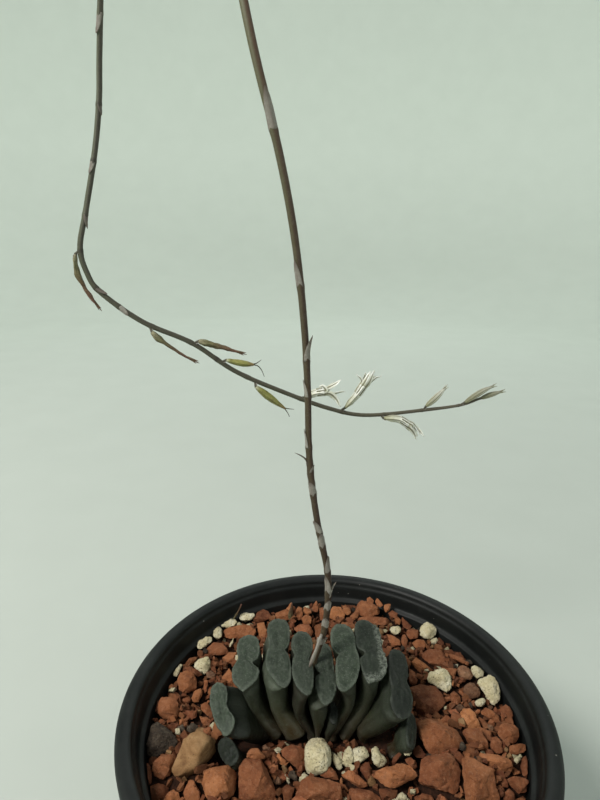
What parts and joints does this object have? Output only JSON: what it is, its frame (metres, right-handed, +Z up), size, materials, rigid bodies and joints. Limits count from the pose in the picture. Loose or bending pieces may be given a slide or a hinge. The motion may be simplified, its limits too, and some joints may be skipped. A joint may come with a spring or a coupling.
{
  "type": "potted haworthia truncata plant",
  "caption": "Fan of truncated succulent leaves in crushed brick and pumice gravel in a round black nursery pot, with one arched flower stem bearing pods, white flowers and buds.",
  "frame": {"origin": "centre of the pot's underside, on the surface it stands on", "axes": "+Z up, out of the pot and along the flower stem; +X along the fan of leaves; +Y to the back, where the flower stem comes down again"},
  "size_m": [0.1667, 0.1594, 0.3292],
  "materials": {
    "pot_plastic": "satin",
    "potting_mix": "matte",
    "fine_gravel": "matte",
    "stem_base": "matte",
    "pumice": "matte",
    "tan_stone": "matte",
    "lava": "matte",
    "brick": "matte",
    "leaf": "satin",
    "flower_stem": "matte",
    "spent_flower": "matte",
    "seed_pod": "satin",
    "petal": "matte",
    "bud": "matte",
    "bract": "matte"
  },
  "bodies": {
    "root": {"pot": "pot_plastic", "potting_mix": "potting_mix", "gravel_bed": "fine_gravel", "stem_base": "stem_base", "pumice_front_egg": "pumice", "pumice_front_pair": "pumice", "pumice_front_cone": "pumice", "pumice_left_1": "pumice", "pumice_left_2": "pumice", "pumice_left_3": "pumice", "pumice_right_1": "pumice", "pumice_right_2": "pumice", "pumice_right_3": "pumice", "tan_pebble": "tan_stone", "grey_lava_stone": "lava", "brick_chip_01": "brick", "brick_chip_02": "brick", "brick_chip_03": "brick", "brick_chip_04": "brick", "brick_chip_05": "brick", "brick_chip_06": "brick", "brick_chip_07": "brick", "brick_chip_08": "brick", "brick_chip_09": "brick", "brick_chip_10": "brick", "brick_chip_11": "brick", "brick_chip_12": "brick", "brick_chip_13": "brick", "brick_chip_14": "brick", "brick_chip_15": "brick", "brick_chip_16": "brick", "brick_chip_17": "brick", "leaf_01_low_left": "leaf", "leaf_02_far_left": "leaf", "leaf_03_left_outer": "leaf", "leaf_04_left_inner": "leaf", "leaf_05_left_centre": "leaf", "leaf_06_centre": "leaf", "leaf_07_young": "leaf", "leaf_08_right_centre": "leaf", "leaf_09_right_inner": "leaf", "leaf_10_right_outer": "leaf", "leaf_11_low_right": "leaf", "peduncle": "flower_stem", "spent_flower_1": "spent_flower", "spent_flower_2": "spent_flower", "spent_flower_3": "spent_flower", "seed_pod_1": "seed_pod", "seed_pod_2": "seed_pod", "open_flower_1": "petal", "open_flower_2": "petal", "open_flower_3": "petal", "flower_bud_1": "bud", "flower_bud_2": "bud", "flower_bud_3": "bud", "bract_1": "bract", "bract_2": "bract", "bract_3": "bract"}
  },
  "joints": []
}
